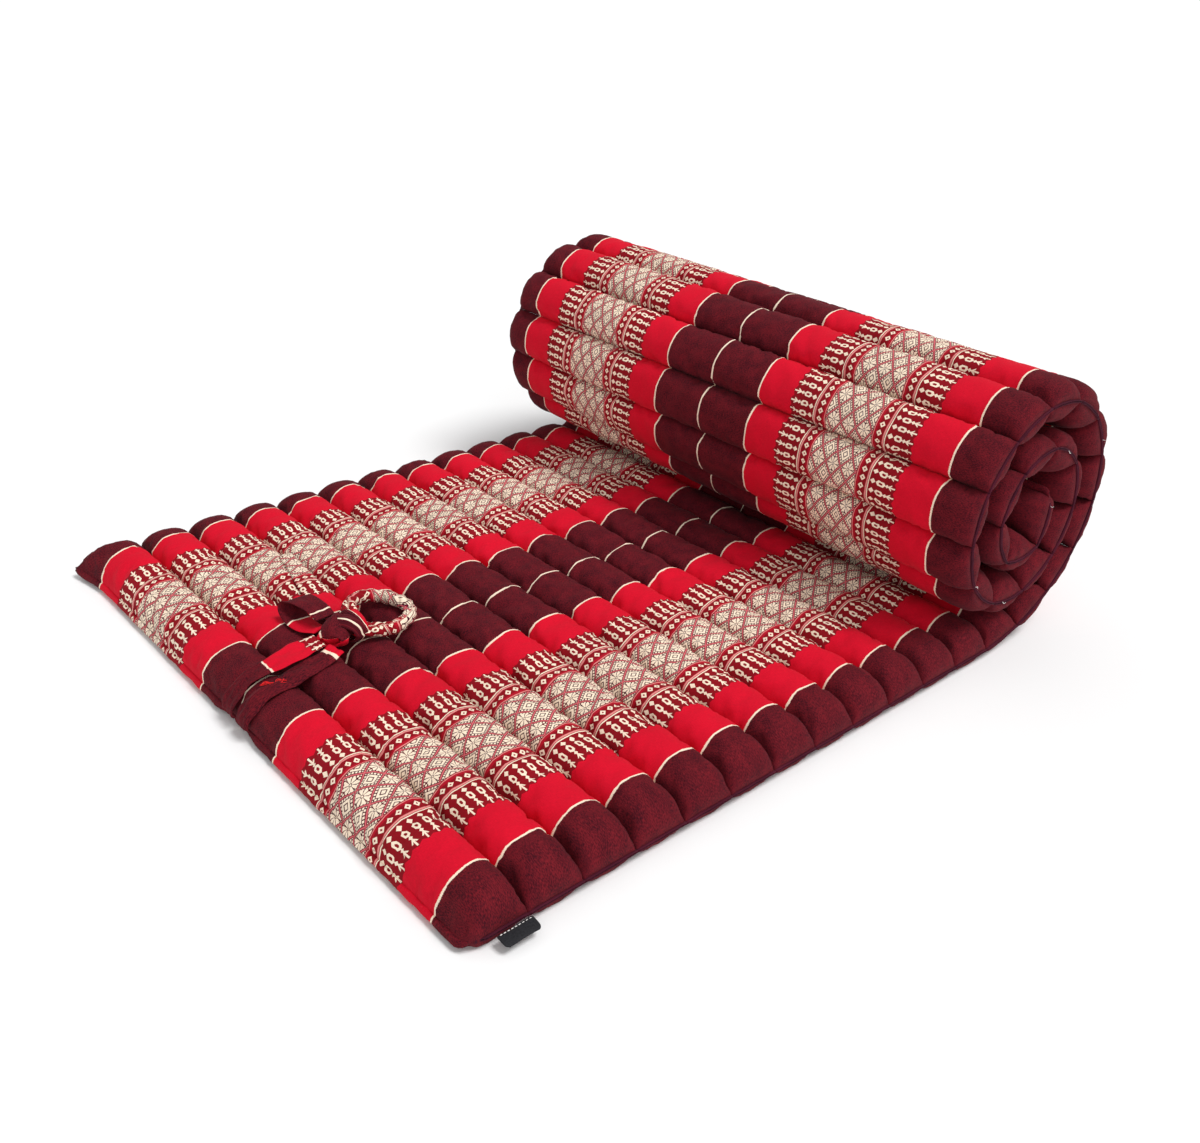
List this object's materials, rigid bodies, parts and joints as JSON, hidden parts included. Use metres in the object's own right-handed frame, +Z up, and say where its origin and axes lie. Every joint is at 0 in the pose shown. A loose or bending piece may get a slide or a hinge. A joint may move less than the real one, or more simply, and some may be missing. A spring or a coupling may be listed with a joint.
{
  "type": "futon mattress",
  "caption": "Roll-up futon mattress, kapok-filled channels in red, maroon and cream striped cotton, half rolled, with fabric ties",
  "frame": {"origin": "on the floor, under the middle of the flat part and the middle of the width", "axes": "+X from the free end towards the roll, +Y across the mattress, +Z up"},
  "size_m": [0.8511, 0.7353, 0.2921],
  "materials": {
    "kapok": "loose cream plant fibre packed into the channels",
    "striped_cloth": "woven cotton with maroon, red and cream patterned stripes, matt",
    "seam": "turned-in and sewn edge of the maroon cloth",
    "tie_cloth": "folded strips of the same striped cotton",
    "label": "black woven tape with a white stitched line"
  },
  "bodies": {
    "flat_part": {"filling_01": "kapok", "filling_02": "kapok", "filling_03": "kapok", "filling_04": "kapok", "filling_05": "kapok", "filling_06": "kapok", "filling_07": "kapok", "filling_08": "kapok", "filling_09": "kapok", "filling_10": "kapok", "filling_11": "kapok", "filling_12": "kapok", "filling_13": "kapok", "cover_bottom_flat": "striped_cloth", "cover_top_flat": "striped_cloth", "cover_top_roll": "striped_cloth", "cover_bottom_roll": "striped_cloth", "side_seam_near_flat": "seam", "side_seam_far_flat": "seam", "side_seam_near_roll": "seam", "side_seam_far_roll": "seam", "hem_free_end": "seam", "label": "label"},
    "channel_14": {"filling_14": "kapok"},
    "channel_15": {"filling_15": "kapok"},
    "channel_16": {"filling_16": "kapok"},
    "channel_17": {"filling_17": "kapok"},
    "channel_18": {"filling_18": "kapok"},
    "channel_19": {"filling_19": "kapok"},
    "channel_20": {"filling_20": "kapok"},
    "channel_21": {"filling_21": "kapok"},
    "channel_22": {"filling_22": "kapok"},
    "channel_23": {"filling_23": "kapok"},
    "channel_24": {"filling_24": "kapok"},
    "channel_25": {"filling_25": "kapok"},
    "channel_26": {"filling_26": "kapok"},
    "channel_27": {"filling_27": "kapok"},
    "channel_28": {"filling_28": "kapok"},
    "channel_29": {"filling_29": "kapok"},
    "channel_30": {"filling_30": "kapok"},
    "channel_31": {"filling_31": "kapok"},
    "channel_32": {"filling_32": "kapok"},
    "channel_33": {"filling_33": "kapok"},
    "channel_34": {"filling_34": "kapok"},
    "channel_35": {"filling_35": "kapok", "hem_roll_end": "seam"},
    "ties": {"tie_strap_left": "tie_cloth", "tie_strap_right": "tie_cloth", "tie_bow": "tie_cloth", "tie_tail": "tie_cloth", "tie_ring": "tie_cloth", "tie_knot": "tie_cloth"}
  },
  "joints": [
    {"name": "unroll", "type": "hinge", "parent": "flat_part", "child": "channel_14", "pos_m": [0.36075, 0, 0.02], "axis": [0, 1, 0], "range_deg": [0, 27.43], "deforming": ["cover_top_roll", "cover_bottom_roll", "side_seam_near_roll", "side_seam_far_roll"]},
    {"name": "unroll_15", "type": "hinge", "parent": "channel_14", "child": "channel_15", "pos_m": [0.41001, 0, 0.04557], "axis": [0, 1, 0], "range_deg": [0, 20.12]},
    {"name": "unroll_16", "type": "hinge", "parent": "channel_15", "child": "channel_16", "pos_m": [0.44747, 0, 0.08652], "axis": [0, 1, 0], "range_deg": [0, 24.25]},
    {"name": "unroll_17", "type": "hinge", "parent": "channel_16", "child": "channel_17", "pos_m": [0.4648, 0, 0.13924], "axis": [0, 1, 0], "range_deg": [0, 24.92]},
    {"name": "unroll_18", "type": "hinge", "parent": "channel_17", "child": "channel_18", "pos_m": [0.4583, 0, 0.19436], "axis": [0, 1, 0], "range_deg": [0, 25.62]},
    {"name": "unroll_19", "type": "hinge", "parent": "channel_18", "child": "channel_19", "pos_m": [0.42861, 0, 0.24125], "axis": [0, 1, 0], "range_deg": [0, 26.33]},
    {"name": "unroll_20", "type": "hinge", "parent": "channel_19", "child": "channel_20", "pos_m": [0.3812, 0, 0.2701], "axis": [0, 1, 0], "range_deg": [0, 27.05]},
    {"name": "unroll_21", "type": "hinge", "parent": "channel_20", "child": "channel_21", "pos_m": [0.32585, 0, 0.27423], "axis": [0, 1, 0], "range_deg": [0, 27.79]},
    {"name": "unroll_22", "type": "hinge", "parent": "channel_21", "child": "channel_22", "pos_m": [0.27496, 0, 0.25209], "axis": [0, 1, 0], "range_deg": [0, 28.56]},
    {"name": "unroll_23", "type": "hinge", "parent": "channel_22", "child": "channel_23", "pos_m": [0.24085, 0, 0.20831], "axis": [0, 1, 0], "range_deg": [0, 29.4]},
    {"name": "unroll_24", "type": "hinge", "parent": "channel_23", "child": "channel_24", "pos_m": [0.23262, 0, 0.15342], "axis": [0, 1, 0], "range_deg": [0, 30.38]},
    {"name": "unroll_25", "type": "hinge", "parent": "channel_24", "child": "channel_25", "pos_m": [0.25328, 0, 0.10191], "axis": [0, 1, 0], "range_deg": [0, 31.55]},
    {"name": "unroll_26", "type": "hinge", "parent": "channel_25", "child": "channel_26", "pos_m": [0.29784, 0, 0.06882], "axis": [0, 1, 0], "range_deg": [0, 32.98]},
    {"name": "unroll_27", "type": "hinge", "parent": "channel_26", "child": "channel_27", "pos_m": [0.35323, 0, 0.06531], "axis": [0, 1, 0], "range_deg": [0, 34.75]},
    {"name": "unroll_28", "type": "hinge", "parent": "channel_27", "child": "channel_28", "pos_m": [0.40073, 0, 0.09401], "axis": [0, 1, 0], "range_deg": [0, 36.91]},
    {"name": "unroll_29", "type": "hinge", "parent": "channel_28", "child": "channel_29", "pos_m": [0.42148, 0, 0.14548], "axis": [0, 1, 0], "range_deg": [0, 39.45]},
    {"name": "unroll_30", "type": "hinge", "parent": "channel_29", "child": "channel_30", "pos_m": [0.4048, 0, 0.19842], "axis": [0, 1, 0], "range_deg": [0, 42.35]},
    {"name": "unroll_31", "type": "hinge", "parent": "channel_30", "child": "channel_31", "pos_m": [0.35682, 0, 0.2263], "axis": [0, 1, 0], "range_deg": [0, 45.6]},
    {"name": "unroll_32", "type": "hinge", "parent": "channel_31", "child": "channel_32", "pos_m": [0.30332, 0, 0.21152], "axis": [0, 1, 0], "range_deg": [0, 49.42]},
    {"name": "unroll_33", "type": "hinge", "parent": "channel_32", "child": "channel_33", "pos_m": [0.27975, 0, 0.16128], "axis": [0, 1, 0], "range_deg": [0, 54.57]},
    {"name": "unroll_34", "type": "hinge", "parent": "channel_33", "child": "channel_34", "pos_m": [0.30702, 0, 0.11294], "axis": [0, 1, 0], "range_deg": [0, 63.17]},
    {"name": "unroll_35", "type": "hinge", "parent": "channel_34", "child": "channel_35", "pos_m": [0.36247, 0, 0.11546], "axis": [0, 1, 0], "range_deg": [0, 80.98]},
    {"name": "tie_lift", "type": "hinge", "parent": "flat_part", "child": "ties", "pos_m": [-0.36225, 0, 0.014], "axis": [0, -1, 0], "range_deg": [0, 110], "deforming": ["tie_strap_left", "tie_strap_right"]}
  ],
  "couplings": [
    {"joint": "unroll_15", "follows": "unroll", "ratio": 0.73333},
    {"joint": "unroll_16", "follows": "unroll", "ratio": 0.88404},
    {"joint": "unroll_17", "follows": "unroll", "ratio": 0.90857},
    {"joint": "unroll_18", "follows": "unroll", "ratio": 0.93398},
    {"joint": "unroll_19", "follows": "unroll", "ratio": 0.9599},
    {"joint": "unroll_20", "follows": "unroll", "ratio": 0.98614},
    {"joint": "unroll_21", "follows": "unroll", "ratio": 1.0129},
    {"joint": "unroll_22", "follows": "unroll", "ratio": 1.041},
    {"joint": "unroll_23", "follows": "unroll", "ratio": 1.0718},
    {"joint": "unroll_24", "follows": "unroll", "ratio": 1.1073},
    {"joint": "unroll_25", "follows": "unroll", "ratio": 1.1499},
    {"joint": "unroll_26", "follows": "unroll", "ratio": 1.2023},
    {"joint": "unroll_27", "follows": "unroll", "ratio": 1.2669},
    {"joint": "unroll_28", "follows": "unroll", "ratio": 1.3454},
    {"joint": "unroll_29", "follows": "unroll", "ratio": 1.438},
    {"joint": "unroll_30", "follows": "unroll", "ratio": 1.5438},
    {"joint": "unroll_31", "follows": "unroll", "ratio": 1.6624},
    {"joint": "unroll_32", "follows": "unroll", "ratio": 1.8015},
    {"joint": "unroll_33", "follows": "unroll", "ratio": 1.9894},
    {"joint": "unroll_34", "follows": "unroll", "ratio": 2.3026},
    {"joint": "unroll_35", "follows": "unroll", "ratio": 2.9519}
  ]
}
